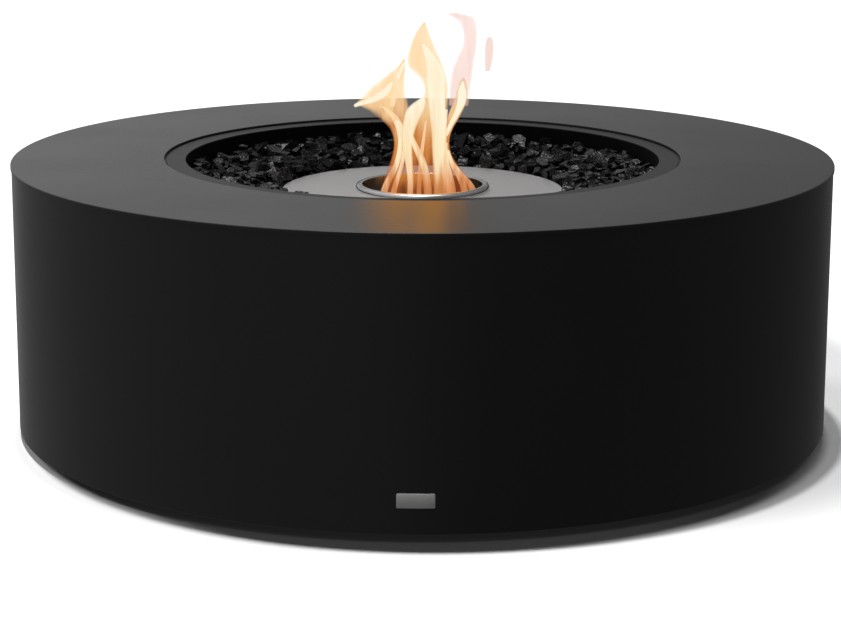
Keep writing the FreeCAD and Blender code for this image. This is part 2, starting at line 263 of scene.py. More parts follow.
# %% Steels
STREAKS_A_RADIAN = 1.2
BRUSH_DEEP = 0.01 * MM
BRUSH_WANDER = 0.06
BRUSH_SHARE = 0.6
PATCHES_A_METRE = 14.0
WEAR_A_METRE = 60.0
WEAR_DEEP = 0.02 * MM
WEAR_WANDER = 0.07


def ring_brushed(name, shade, rough, fine):
    """Steel with fine rings. Fine is how many lines go to a metre of radius."""
    look = new_look(name)
    place = look.place()
    x = look.node("ShaderNodeSeparateXYZ", None, {0: place}, "X")
    y = look.node("ShaderNodeSeparateXYZ", None, {0: place}, "Y")
    radius = (x * x + y * y) ** 0.5
    round_way = look.node("ShaderNodeMath", {"operation": "ARCTAN2"}, {0: y, 1: x})
    unrolled = look.node(
        "ShaderNodeCombineXYZ", None, {0: radius * fine, 1: round_way * STREAKS_A_RADIAN})
    lines = look.noise(unrolled, 1.0, 4.0, 0.7)
    patches = look.noise(place, PATCHES_A_METRE, 3.0)
    tone = lines * BRUSH_SHARE + patches * (1 - BRUSH_SHARE)
    darker = (shade * 0.8, shade * 0.79, shade * 0.79, 1)
    paler = (shade, shade * 0.985, shade * 0.98, 1)
    return look.surface({
        "Base Color": look.mixed(tone, darker, paler),
        "Metallic": 1.0,
        "Roughness": look.between(lines, 0.25, 0.75, rough - BRUSH_WANDER, rough + BRUSH_WANDER),
        "Normal": look.bump(lines, BRUSH_DEEP),
    })


def plain_steel(name, shade, rough):
    look = new_look(name)
    wear = look.noise(look.place(), WEAR_A_METRE, 4.0)
    return look.surface({
        "Base Color": (shade, shade * 0.985, shade * 0.97, 1),
        "Metallic": 1.0,
        "Roughness": look.between(wear, 0.3, 0.7, rough - WEAR_WANDER, rough + WEAR_WANDER),
        "Normal": look.bump(wear, WEAR_DEEP),
    })


plate_steel = ring_brushed("burner_plate_steel", shade=0.84, rough=0.42, fine=1600.0)
collar_steel = ring_brushed("mouth_ring_steel", shade=0.8, rough=0.18, fine=3000.0)
can_steel = plain_steel("burner_can_steel", shade=0.5, rough=0.34)
zinc = plain_steel("zinc_plated_steel", shade=0.55, rough=0.3)
print("made", plate_steel.name, collar_steel.name, can_steel.name, zinc.name)

# %% [markdown]
# ## Black fire glass
# Fire glass is crushed black glass. Its faces are smooth like water with faint shell shaped
# ripples, and a few catch the light while the rest stay nearly black. Light could be let
# through it, but hardly any gets out of black glass again, so a dark gloss shows the same.


# %% Glass, rubber and fibre
SHELLS_A_METRE = 260.0
SHELL_DEEP = 1.6 * MM
DUST_A_METRE = 90.0
SPECK_DARKER = 0.7


def black_glass(name):
    look = new_look(name)
    place = look.place()
    ripple = look.noise(place, SHELLS_A_METRE, 1.0)
    dust = look.noise(place, DUST_A_METRE, 4.0)
    return look.surface({
        "Base Color": look.mixed(dust, (0.002, 0.002, 0.002, 1), (0.01, 0.01, 0.011, 1)),
        "Roughness": look.between(dust, 0.45, 0.7, 0.03, 0.16),
        "IOR": 1.52,
        "Specular IOR Level": 0.3,
        "Normal": look.bump(ripple, SHELL_DEEP),
    })


def matt(name, colour, rough, grain, depth, shine=0.5):
    """Dull finish with specks. Grain is how many specks go to a metre."""
    look = new_look(name)
    specks = look.noise(look.place(), grain, 3.0)
    dark = tuple(part * SPECK_DARKER for part in colour)
    return look.surface({
        "Base Color": look.mixed(specks, (*dark, 1), (*colour, 1)),
        "Roughness": rough,
        "Specular IOR Level": shine,
        "Normal": look.bump(specks, depth),
    })


# The tray's wall gets a nearly black, almost unreflective copy of the tray's coat: painted shade
# for the recess under the opening.
painted_shade_wall = matt(
    "tray_wall_painted_shade", (0.003, 0.003, 0.003), rough=0.8, grain=300.0, depth=0.02 * MM, shine=0.08)
glass = black_glass("black_fire_glass")
badge_steel = plain_steel("badge_steel", shade=0.72, rough=0.5)
foot_plastic = matt(
    "foot_plastic", (0.012, 0.012, 0.012), rough=0.55, grain=900.0, depth=0.02 * MM)
tape = matt("badge_tape", (0.02, 0.02, 0.02), rough=0.8, grain=1500.0, depth=0.05 * MM)
fibre = matt("insulation_fibre", (0.62, 0.6, 0.54), rough=0.95, grain=260.0, depth=0.6 * MM)
for finish in (painted_shade_wall, glass, badge_steel, foot_plastic, tape, fibre):
    print("made", finish.name)

# %% [markdown]
# ## Sheet metal, turned round the axis
# Most pieces are sheet steel, rolled or folded round the table's axis. The cut through a
# sheet is drawn once as a small closed outline, its corners are rounded, and the outline is
# spun a full turn. One outline keeps the sheet's thickness true all the way, where a
# Solidify modifier would have to guess it at the folds.


# %% Helpers for turned sheet
STEPS = 320
CORNER_STEPS = 4
MERGE = 0.001 * MM


def section(corners):
    """Closed outline in the XZ plane from corners (radius, height, rounding)."""
    bm = bmesh.new()
    points = [bm.verts.new((r, 0, z)) for r, z, _ in corners]
    bm.faces.new(points)
    for rounding in sorted({corner[2] for corner in corners} - {0}):
        picked = [
            v for v, corner in zip(points, corners) if v.is_valid and corner[2] == rounding]
        bmesh.ops.bevel(
            bm, geom=picked, offset=rounding, affect="VERTICES", segments=CORNER_STEPS,
            profile=0.5, material=-1)
    bmesh.ops.delete(bm, geom=bm.faces[:], context="FACES_ONLY")
    return bm


def fold(path, wall, bend):
    """Corners of a folded sheet. The path is one skin and the wall lies to its left."""
    ways = [(Vector(b) - Vector(a)).normalized() for a, b in zip(path, path[1:])]
    near, far = [], []
    for i, (r, z) in enumerate(path):
        before, after = ways[max(i - 1, 0)], ways[min(i, len(ways) - 1)]
        side = Vector((-before.y - after.y, before.x + after.x)) * wall / (1 + before.dot(after))
        left_turn = before.x * after.y - before.y * after.x
        inside, outside = (bend, bend + wall) if abs(left_turn) > 1e-6 else (0, 0)
        near_round, far_round = (outside, inside) if left_turn > 0 else (inside, outside)
        near.append((r, z, near_round))
        far.append((r + side.x, z + side.y, far_round))
    return near + far[::-1]


def open_at_axis(bm):
    """Takes the outline's edge along the axis away, so that the spin has no inner wall."""
    on_axis = [edge for edge in bm.edges if all(abs(v.co.x) < 1e-7 for v in edge.verts)]
    bmesh.ops.delete(bm, geom=on_axis, context="EDGES")
    return bm


def spun(bm, steps=STEPS):
    """Full turn of an outline round the table's axis, with its faces outwards."""
    bmesh.ops.spin(
        bm, geom=bm.verts[:] + bm.edges[:], cent=(0, 0, 0), axis=(0, 0, 1),
        angle=2 * math.pi, steps=steps, use_merge=True)
    bmesh.ops.remove_doubles(bm, verts=bm.verts[:], dist=MERGE)
    bmesh.ops.recalc_face_normals(bm, faces=bm.faces[:])
    return bm


def piece(name, bm, material, smooth=True):
    """Object at the origin from a finished bmesh."""
    mesh = bpy.data.meshes.new(name)
    bm.to_mesh(mesh)
    bm.free()
    if smooth:
        mesh.shade_smooth()
        mesh.set_sharp_from_angle(angle=SMOOTH_ANGLE)
    mesh.materials.append(material)
    made = bpy.data.objects.new(name, mesh)
    bpy.context.scene.collection.objects.link(made)
    return made


def fitted(made, body, slot_name, *hidden):
    """The piece rides on a body and stands for the nodes that it hides. Its slot_name is not used.
    """
    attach(made, body)
    if hidden:
        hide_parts(*hidden)
    print(made.name, len(made.data.polygons), "faces")
    return made


def turned_piece(name, corners, material, body, slot_name, *hidden, from_axis=False):
    outline = section(corners)
    made = piece(name, spun(open_at_axis(outline) if from_axis else outline), material)
    made.modifiers.new("even_faces", "WEIGHTED_NORMAL").keep_sharp = True
    return fitted(made, body, slot_name, *hidden)


print("a full turn has", STEPS, "steps")


# %% [markdown]
# ## The top and the drum
# The top is a flat ring of plate whose outer edge is eased. That small round catches a thin
# bright line all the way round the table. The drum is a sheet rolled to a cylinder that
# sits a little inside the top's edge, so the top casts a hairline of shade on it. Plain
# cylinders with a Bevel modifier would do too, but an outline gives each corner its own
# rounding.

# %% Top plate and drum wall
EDGE_EASE = 1.0 * MM
CUT_EASE = 0.4 * MM

top_low = low("top_plate")
turned_piece(
    "table_top", [
        (opening_r, top_low, 0), (table_r, top_low, 0),
        (table_r, table_top, EDGE_EASE), (opening_r, table_top, EDGE_EASE / 2)],
    coat, "housing", "powder_coat", "top_plate")

wall_low, wall_high = low("drum_shell"), high("drum_shell")
inner_r, outer_r = radii("drum_shell")
turned_piece(
    "drum_wall", [
        (inner_r, wall_low, CUT_EASE), (outer_r, wall_low, CUT_EASE * 1.5),
        (outer_r, wall_high, 0), (inner_r, wall_high, 0)],
    coat, "housing", "powder_coat", "drum_shell")

# %% [markdown]
# ## The tray
# The tray hangs on a ledge under the opening. Its level flange shows as a dark ring a few
# millimetres below the top, with a gap round it. The wall below the flange has the tray's
# coat too, but here it gets a darker, almost unreflective copy of it: painted shade for the
# recess under the opening. The tray could be one outline, but with that wall as a piece of
# its own each piece has one finish.

# %% Fire tray
FLANGE_EASE = 0.5 * MM
TRAY_BEND = 2.5 * MM

tray_in, flange_r = radii("tray_flange")
turned_piece(
    "tray_rim", [
        (tray_in, low("tray_flange"), 0), (flange_r, low("tray_flange"), FLANGE_EASE / 2),
        (flange_r, high("tray_flange"), FLANGE_EASE), (tray_in, high("tray_flange"), FLANGE_EASE)],
    tray_coat, "glass_tray", "tray_coat", "tray_flange")

upstand_r, tray_r = radii("tray_floor")
tray_t = high("tray_flange") - low("tray_flange")
# The wall wears the painted-shade copy of the tray's coat.
turned_piece(
    "tray_pan", fold([
        (upstand_r, high("tray_floor")), (upstand_r, low("tray_floor")),
        (tray_r, low("tray_floor")), (tray_r, low("tray_flange"))], tray_t, TRAY_BEND),
    painted_shade_wall, "glass_tray", "tray_coat", "tray_wall", "tray_floor")

# %% [markdown]
# ## The burner
# The burner plate is a shallow lid with its rim turned down. A ring stands round the mouth
# and turns down inside it as a neck. A fine groove runs round its top, so two thin bright
# lines go round the dark mouth. A bump could draw the groove, but its edges have to catch
# the light, so it is cut in the ring's outline.

# %% Burner plate, mouth ring and can
SHEET_T = 1.5 * MM
PLATE_BEND = 1.0 * MM
CAN_BEND = 4.0 * MM

plate_low = low("burner_plate")
hole_r, plate_r = radii("burner_plate")
plate_path = [(plate_r, plate_low), (plate_r, plate_top), (hole_r, plate_top)]
turned_piece(
    "burner_top", fold(plate_path, SHEET_T, PLATE_BEND),
    plate_steel, "burner", "burner_steel", "burner_plate")

RING_ROUND = 5.0 * MM
RING_SKIN = 3.0 * MM
RING_HOLLOW_EASE = 1.0 * MM
GROOVE_IN = 3.6 * MM
GROOVE_W = 1.4 * MM
GROOVE_DEEP = 0.7 * MM
GROOVE_EASE = 0.25 * MM
GROOVE_FOOT_EASE = 0.2 * MM
MOUTH_EASE = 0.8 * MM

mouth_r, ring_r = radii("mouth_collar")
ring_top, neck_foot = high("mouth_collar"), low("mouth_collar")
groove_in, groove_out = mouth_r + GROOVE_IN, mouth_r + GROOVE_IN + GROOVE_W
hollow_in, hollow_out = mouth_r + SHEET_T, ring_r - SHEET_T
turned_piece(
    "mouth_ring", [
        (ring_r, plate_top, 0), (ring_r, ring_top, RING_ROUND),
        (groove_out, ring_top, GROOVE_EASE),
        (groove_out, ring_top - GROOVE_DEEP, GROOVE_FOOT_EASE),
        (groove_in, ring_top - GROOVE_DEEP, GROOVE_FOOT_EASE),
        (groove_in, ring_top, GROOVE_EASE),
        (mouth_r, ring_top, MOUTH_EASE), (mouth_r, neck_foot, 0), (hollow_in, neck_foot, 0),
        (hollow_in, ring_top - RING_SKIN, RING_HOLLOW_EASE),
        (hollow_out, ring_top - RING_SKIN, RING_HOLLOW_EASE), (hollow_out, plate_top, 0)],
    collar_steel, "burner", "burner_steel", "mouth_collar")

can_r = radii("burner_jacket")[1]
can_low, can_high = low("burner_jacket"), high("burner_jacket")
turned_piece(
    "burner_can", fold([(0, can_low), (can_r, can_low), (can_r, can_high)], SHEET_T, CAN_BEND),
    can_steel, "burner", "burner_steel", "burner_jacket", from_axis=True)

# %% [markdown]
# ## Fire glass
# A shard of fire glass is a lump of glass with its corners broken off. An icosphere with
# moved corners looks like gravel. So each kind of shard starts as a block, random planes cut
# pieces from it and each cut is closed with a face, which leaves few, flat faces. Copies of
# two dozen kinds, turned at random, make the heap. It leans up the tray's wall and thins out
# towards the burner.

# %% Kinds of shard
SHARD_KINDS = 24
SHARD_CUTS = 9
SHARD_SEED = 11
SHARD_WIDE = (0.5, 0.9)
SHARD_THICK = (0.35, 0.65)
CUT_REACH = (0.55, 0.85)
SHORTEST_EDGE = 0.02


def shard(draw):
    """Block of glass, about 2 across, with random planes cut off and closed."""
    bm = bmesh.new()
    bmesh.ops.create_cube(bm, size=2.0)
    flat = (1.0, draw.uniform(*SHARD_WIDE), draw.uniform(*SHARD_THICK))
    bmesh.ops.scale(bm, vec=flat, verts=bm.verts[:])
    for _ in range(SHARD_CUTS):
        way = Vector([draw.gauss(0, 1) for _ in range(3)]).normalized()
        reach = max(v.co.dot(way) for v in bm.verts)
        cut = bmesh.ops.bisect_plane(
            bm, geom=bm.verts[:] + bm.edges[:] + bm.faces[:],
            plane_co=way * reach * draw.uniform(*CUT_REACH), plane_no=way, clear_outer=True)
        rim = [part for part in cut["geom_cut"] if isinstance(part, bmesh.types.BMEdge)]
        bmesh.ops.edgeloop_fill(bm, edges=rim)
    bmesh.ops.dissolve_degenerate(bm, dist=SHORTEST_EDGE, edges=bm.edges[:])
    bmesh.ops.recalc_face_normals(bm, faces=bm.faces[:])
    mesh = bpy.data.meshes.new("shard_kind")
    bm.to_mesh(mesh)
    bm.free()
    return mesh


draw = random.Random(SHARD_SEED)
kinds = [shard(draw) for _ in range(SHARD_KINDS)]
print("faces in each kind", [len(kind.polygons) for kind in kinds])

# %% [markdown]
# ## The heap
# Particles or Geometry Nodes could scatter the shards. A plain loop with a seeded draw gives
# the same heap in each run. It is laid in layers, and in each layer a shard only goes where
# the ones beside it leave room, which keeps the glass loose and even. Small shards fill the
# bottom, larger ones lie over them, and the last layer scatters a few small ones on top. The
# height that shards reach falls from the wall to the burner plate.

# %% Lay the shards
# Each layer: its shards' size in millimetres, how many are wanted, and its rise in millimetres
LAYERS = [(18, 800, -12.0), (23, 620, -6.0), (31, 340, -1.0), (19, 240, 3.0)]
HEAP_BASE = -0.5 * MM
HEAP_AT_PLATE = 9.0 * MM
HEAP_AT_WALL = 28.0 * MM
HEAP_STEEP = 1.25
HEAP_BOW = 0.8
HEAP_SETTLED = 0.9
PLATE_GAP = 0.6 * MM
TRIES_A_SHARD = 6
SHARD_SIZES = (0.6, 1.1)
SHARD_ROOM = 0.62
SHARD_EDGE_ROOM = 0.7
SHARD_SINK = (0.45, 0.75)
SHARD_TILT = 0.7
FULL_TURN = 2 * math.pi
glass_in = plate_r + PLATE_GAP
glass_out = radii("fire_glass_bed")[1]


def heap_top(radius):
    """Height that the upper shards reach at a radius."""
    share = (radius - glass_in) / (glass_out - glass_in)
    steep = min(1, share * HEAP_STEEP) ** HEAP_BOW
    lift = HEAP_AT_PLATE + (HEAP_AT_WALL - HEAP_AT_PLATE) * steep
    return plate_top + HEAP_BASE + lift * HEAP_SETTLED


def lay(bm, kind, size, spot, turn):
    """Copy of a shard kind into the heap."""
    before = len(bm.verts)
    bm.from_mesh(kind)
    bm.verts.ensure_lookup_table()
    fresh = bm.verts[before:]
    placed = Matrix.Translation(spot) @ turn @ Matrix.Scale(size, 4)
    bmesh.ops.transform(bm, matrix=placed, verts=fresh)
    for v in fresh:
        radius = math.hypot(v.co.x, v.co.y)
        kept = min(max(radius, glass_in), glass_out)
        v.co.x *= kept / radius
        v.co.y *= kept / radius


def heap(draw):
    """All shards, in as many bmeshes as keep each piece small."""
    piles = []
    for across, wanted, rise in LAYERS:
        bm = bmesh.new()
        places = []
        for _ in range(wanted * TRIES_A_SHARD):
            if len(places) >= wanted:
                break
            size = across * MM / 2 * draw.uniform(*SHARD_SIZES)
            nearest = glass_in + size * SHARD_EDGE_ROOM
            farthest = glass_out - size * SHARD_EDGE_ROOM
            radius = math.sqrt(draw.uniform(nearest ** 2, farthest ** 2))
            angle = draw.uniform(0, FULL_TURN)
            x, y = radius * math.cos(angle), radius * math.sin(angle)
            if any((x - px) ** 2 + (y - py) ** 2 < (SHARD_ROOM * (size + taken)) ** 2
                   for px, py, taken in places):
                continue
            places.append((x, y, size))
            z = heap_top(radius) + rise * MM - size * draw.uniform(*SHARD_SINK)
            heading = Matrix.Rotation(draw.uniform(0, FULL_TURN), 4, "Z")
            tip = Matrix.Rotation(draw.uniform(-SHARD_TILT, SHARD_TILT), 4, "X")
            roll = Matrix.Rotation(draw.uniform(0, FULL_TURN), 4, "Z")
            lay(bm, draw.choice(kinds), size, Vector((x, y, z)), heading @ tip @ roll)
        print("layer of", across, "mm shards:", len(places))
        piles.append(bm)
    return piles


for number, bm in enumerate(heap(draw)):
    pile = piece("glass_layer_%d" % (number + 1), bm, glass, smooth=False)
    fitted(pile, "glass_tray", "fire_glass", *(["fire_glass_chips"] if number == 0 else []))
for kind in kinds:
    bpy.data.meshes.remove(kind)

# %% [markdown]
# ## Levelling feet
# A foot is a plastic pad on a threaded stud. The stud's mesh in the model has a plain shaft.
# Its shaft is drawn in to the thread's root, and one ridge is wound up it: a short outline
# is spun round the shaft with a rise of one pitch a turn. A Screw modifier winds a thread
# too, but here its two ends can be closed as it is made.

# %% Feet
THREAD_PITCH = 1.5 * MM
THREAD_DEEP = 0.8 * MM
THREAD_STEPS = 24
THREAD_SUNK = 0.15 * MM
THREAD_CREST = (0.45, 0.55)
THREAD_MERGE = 0.01 * MM
SHAFT_R = 5.0 * MM
SHAFT_REACH = SHAFT_R * 1.01
COLLAR_ABOVE_FOOT = 5.0 * MM
TIP_BEVEL = 1.0 * MM
PAD_BEVEL = 1.2 * MM
PAD_ROUND = 0.5 * MM
SOCKET_R = 5.1 * MM
SOCKET_DEEP = 2.0 * MM
PAD_STEPS = 64
feet = ["front_left", "front_right", "rear_right", "rear_left"]


def centre_of(node):
    lo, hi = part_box(node)
    return Vector(((lo.x + hi.x) / 2, (lo.y + hi.y) / 2, 0))


def pad_outline(node):
    """Half section of the pad: a disc with bevelled edges and a socket in its top."""
    lo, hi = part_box(node)
    r = (hi.x - lo.x) / 2
    return [
        (0, lo.z, 0), (r - PAD_BEVEL, lo.z, PAD_ROUND), (r, lo.z + PAD_BEVEL, PAD_ROUND),
        (r, hi.z - PAD_BEVEL / 2, PAD_ROUND), (r - PAD_BEVEL, hi.z, PAD_ROUND),
        (SOCKET_R, hi.z, 0), (SOCKET_R, hi.z - SOCKET_DEEP, 0), (0, hi.z - SOCKET_DEEP, 0)]


def threaded_stud(node):
    """The model's stud with its shaft drawn in to the root and a ridge wound up it."""
    middle = centre_of(node)
    bm = bmesh.new()
    bm.from_mesh(nodes[node].data)
    bmesh.ops.remove_doubles(bm, verts=bm.verts[:], dist=MERGE)
    root = SHAFT_R - THREAD_DEEP
    for v in bm.verts:
        off = Vector((v.co.x, v.co.y)) - middle.xy
        if off.length < SHAFT_REACH:
            v.co.xy = middle.xy + off * (root / SHAFT_R)
    bottom = low(node) + COLLAR_ABOVE_FOOT
    turns = int((high(node) - TIP_BEVEL - bottom) / THREAD_PITCH) - 1
    inside = root - THREAD_SUNK
    ridge = [
        bm.verts.new((middle.x + r, middle.y, bottom + rise * THREAD_PITCH))
        for r, rise in (
            (inside, 0), (SHAFT_R, THREAD_CREST[0]), (SHAFT_R, THREAD_CREST[1]), (inside, 1))]
    lines = [bm.edges.new(pair) for pair in zip(ridge, ridge[1:])]
    wound = bmesh.ops.spin(
        bm, geom=ridge + lines, cent=middle, axis=(0, 0, 1), angle=FULL_TURN * turns,
        dvec=(0, 0, THREAD_PITCH / THREAD_STEPS), steps=turns * THREAD_STEPS)
    last = [part for part in wound["geom_last"] if isinstance(part, bmesh.types.BMVert)]
    bm.faces.new(ridge)
    bm.faces.new(sorted(last, key=lambda v: -v.co.z))
    bmesh.ops.remove_doubles(bm, verts=bm.verts[:], dist=THREAD_MERGE)
    return bm


for foot in feet:
    node = "foot_pad_" + foot
    bm = spun(open_at_axis(section(pad_outline(node))), PAD_STEPS)
    bmesh.ops.translate(bm, vec=centre_of(node), verts=bm.verts[:])
    fitted(piece("pad_" + foot, bm, foot_plastic), "pad_" + foot, "foot_plastic", node)
    node = "foot_stud_" + foot
    fitted(piece("stud_" + foot, threaded_stud(node), zinc), "stud_" + foot, "zinc_steel", node)

# %% [markdown]
# ## The badge plate
# A small plate sits low on the front of the drum. It is left bare. A block could be bent
# round the drum, but the model's own mesh has the curve and the place already. A bevel on
# its edges makes it read as stamped metal.

# %% Badge plate
BADGE_EASE = 0.25 * MM
FLAT_ANGLE = math.radians(1)
RIM_ANGLE = math.radians(60)

bm = bmesh.new()
bm.from_mesh(nodes["badge_plate"].data)
bmesh.ops.remove_doubles(bm, verts=bm.verts[:], dist=MERGE)
bmesh.ops.dissolve_limit(bm, angle_limit=FLAT_ANGLE, verts=bm.verts[:], edges=bm.edges[:])
rim = [edge for edge in bm.edges if edge.is_manifold and edge.calc_face_angle() > RIM_ANGLE]
bmesh.ops.bevel(
    bm, geom=rim, offset=BADGE_EASE, affect="EDGES", segments=2, profile=0.5, material=-1)
fitted(piece("badge", bm, badge_steel), "housing", "badge_steel", "badge_plate")

# %% [markdown]
# ## The hidden structure
# The ledge, the base ring, the posts, the ribs, the fuel pan and its insulation keep the
# model's own meshes. They could be made anew like the rest, but they are plain plate that
# hardly ever shows, so each only takes its finish.

# %% Finishes for the model's own meshes
FINISHES = {
    "powder_coat": frame_coat, "burner_steel": can_steel, "fibre": fibre,
    "zinc_steel": zinc, "badge_tape": tape, "fire_glass": glass,
    "tray_coat": tray_coat, "foot_plastic": foot_plastic, "badge_steel": badge_steel}
slot_of = {sub["node"]: sub["material_slot"] for sub in frame["record"]["subparts"]}
for name, node in nodes.items():
    node.data.materials.clear()
    node.data.materials.append(FINISHES[slot_of[name]])
print("finishes on", len(nodes), "nodes")

# %% [markdown]
# ## The flame
# The flame isn't part of the object. It belongs to the scene, as the light does, so it is a
# stage object, and it is tied to the burner so that it stays over the mouth. A simulated
# fire would burn in a shape of its own, so the tongues are drawn. Each is a tube of rings,
# flattened in depth, and each ring is given by its height and its left and right ends.
# Veils are thin and orange, the strands in front of them are denser and cream, and a faint
# haze hangs round the tips. A ray meets more or less of the glow where the streaks say so,
# and clear air in between.


# %% Flame
FLAME_FLAT = 0.7
FLAME_SIDES = 16
MIRRORED_COLOUR = (1.0, 0.42, 0.07, 1)
STREAK_SCALE = (110, 60, 9)
STREAK_SHIFT = 0.03
STREAK_LEAST = 0.7
MOUTH_CORE = 0.12
MOUTH_TO_MIDDLE = (-0.01, 0.045)
MIDDLE_TO_TIPS = (0.05, 0.11)


def flame_look(name, colours, covers, mirrored):
    """Glow in clear air. Colours and covers are given for the mouth, the middle and the tips."""
    look = new_look(name)
    place = look.place()
    stretched = look.node("ShaderNodeMapping", None, {"Vector": place, "Scale": STREAK_SCALE})
    streaks = look.between(look.noise(stretched, 1.0, 2.0, 0.5), 0.3, 0.7, 0.0, 1.0)
    z = look.node("ShaderNodeSeparateXYZ", None, {0: place}, "Z")
    wavy = z + (streaks - 0.5) * STREAK_SHIFT
    first, second = [
        look.between(wavy, ring_top + start, ring_top + stop, 0.0, 1.0)
        for start, stop in (MOUTH_TO_MIDDLE, MIDDLE_TO_TIPS)]
    facing = look.node("ShaderNodeLayerWeight", None, {"Blend": 0.5}, "Facing")
    core = look.between(facing, 0.1, 0.8, 1.0, 0.0)
    mouth, middle, tips = [(*colour, 1) for colour in colours]
    hot = (MOUTH_CORE + first * (1 - MOUTH_CORE)) * core
    colour = look.mixed(second, look.mixed(hot, mouth, middle), tips)
    cover = covers[0] + first * (covers[1] - covers[0]) + second * (covers[2] - covers[1])
    seen = look.node("ShaderNodeLightPath", out="Is Camera Ray")
    glow = look.node("ShaderNodeEmission", None, {
        "Color": look.mixed(seen, MIRRORED_COLOUR, colour),
        "Strength": mirrored + seen * (1.0 - mirrored)})
    clear = look.node("ShaderNodeBsdfTransparent")
    share = look.node("ShaderNodeMath", {"operation": "MULTIPLY", "use_clamp": True}, {
        0: core * (STREAK_LEAST + streaks * (1 - STREAK_LEAST)), 1: cover})
    made = look.node("ShaderNodeMixShader", None, {0: share, 1: clear, 2: glow})
    look.node("ShaderNodeOutputMaterial", None, {"Surface": made})
    return look.owner


def tongue(bm, depth, rings):
    """Tube through rings (height, left end, right end), flattened, at a depth along Y."""
    loops = []
    for height, left, right in rings:
        half = (right - left) / 2
        ring = bmesh.ops.create_circle(bm, segments=FLAME_SIDES, radius=half * MM)["verts"]
        bmesh.ops.scale(bm, vec=(1, FLAME_FLAT, 1), verts=ring)
        bmesh.ops.translate(
            bm, vec=((left + half) * MM, depth * MM, ring_top + height * MM), verts=ring)
        loops.append({edge for v in ring for edge in v.link_edges})
    for lower, upper in zip(loops, loops[1:]):
        bmesh.ops.bridge_loops(bm, edges=list(lower | upper))


# Each tongue: its depth, then its rings from the mouth up, all in millimetres
VEILS = [
    (4, [(-28, -42, -20), (0, -52, -25), (18, -43, -22), (42, -35, -17), (58, -36, -16),
         (70, -42, -14), (80, -55, -14), (88, -66, -14), (94, -78, -15), (99, -85, -16),
         (108, -76, -18), (120, -66, -20), (132, -50, -21), (146, -28, -20), (154, -24, -22)]),
    (0, [(-28, -24, 24), (14, -28, 27), (36, -29, 28), (56, -29, 30), (76, -26, 31), (92, -18, 32),
         (104, 0, 32), (118, 2, 33), (130, -4, 31), (142, -22, 29), (158, -22, 22), (172, -16, 15),
         (186, -10, 9), (195, -4, 5), (199, 1, 3)]),
    (6, [(-28, 20, 52), (2, 26, 66), (16, 25, 48), (36, 24, 34), (56, 24, 32), (72, 26, 40),
         (88, 32, 50), (102, 38, 55), (114, 42, 56), (124, 44, 54), (130, 48, 52)])]
HAZE = [
    (8, [(96, 31, 57), (112, 31, 60), (130, 32, 62), (148, 36, 64), (166, 48, 67), (184, 50, 68),
         (198, 44, 67), (206, 28, 64), (210, 30, 50)]),
    (8, [(138, 76, 83), (150, 75, 86), (164, 75, 88), (176, 76, 87), (180, 79, 84)])]
STRANDS = [
    (-14, [(-24, -20, -12), (2, -18, -10), (20, -20, -11), (40, -24, -12), (54, -26, -12),
           (70, -26, -8), (84, -24, -2), (94, -21, 3), (101, -14, 4), (106, -6, 4), (109, -1, 2)]),
    (-16, [(-24, 2, 13), (2, 1, 12), (20, -2, 9), (36, -8, 3), (50, -14, -5), (62, -18, -11),
           (72, -19, -15)]),
    (-6, [(-24, -8, -1), (4, -7, -1), (24, -5, 0), (44, -3, 2), (62, 0, 4), (78, 3, 5)]),
    (-2, [(-24, 28, 38), (4, 26, 35), (26, 22, 29), (50, 21, 27), (74, 24, 30), (92, 27, 31)]),
    (-18, [(-24, 14, 28), (2, 13, 29), (20, 12, 28), (44, 11, 29), (62, 10, 31), (80, 9, 30),
           (98, 7, 28), (116, 5, 28), (132, 4, 29), (146, 4, 25), (158, 2, 17), (168, 0, 8),
           (174, -1, 2)]),
    (-8, [(-24, 34, 43), (4, 32, 41), (22, 27, 34), (38, 25, 31), (52, 24, 31)]),
    (-4, [(-24, 50, 60), (0, 46, 56), (14, 38, 48), (28, 32, 38), (42, 28, 33)]),
    (-2, [(-24, 62, 72), (-2, 56, 66), (8, 48, 56), (18, 40, 46), (30, 33, 37)]),
    (-6, [(-24, -56, -46), (0, -50, -40), (12, -42, -33), (28, -34, -26), (48, -30, -23),
          (64, -31, -21), (80, -37, -25), (92, -46, -38), (97, -52, -50)]),
    (-10, [(-24, -42, -34), (0, -38, -30), (16, -30, -24), (34, -26, -21), (50, -24, -19)]),
    (-6, [(60, 26, 31), (72, 30, 37), (88, 38, 46), (102, 43, 54), (114, 42, 54), (121, 45, 52),
          (127, 48, 50)]),
    (-12, [(96, -83, -80), (99, -86, -66), (103, -80, -53), (108, -69, -45), (114, -56, -39),
           (121, -46, -37), (127, -39, -36)]),
    (-4, [(96, -40, -34), (110, -40, -31), (124, -36, -29), (136, -32, -27), (150, -24, -20)])]


glowed_on = bpy.data.collections.new("lit_by_the_flame")
for name in ("table_top", "burner_top", "mouth_ring", "burner_can"):
    glowed_on.objects.link(bpy.data.objects[name])


def flame(name, tongues, look):
    bm = bmesh.new()
    for depth, rings in tongues:
        tongue(bm, depth, rings)
    bmesh.ops.recalc_face_normals(bm, faces=bm.faces[:])
    made = piece(name, bm, look)
    soft = made.modifiers.new("soft", "SUBSURF")
    soft.levels = soft.render_levels = 2
    made.light_linking.receiver_collection = glowed_on
    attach(made, "burner")
    print(name, len(tongues), "tongues")


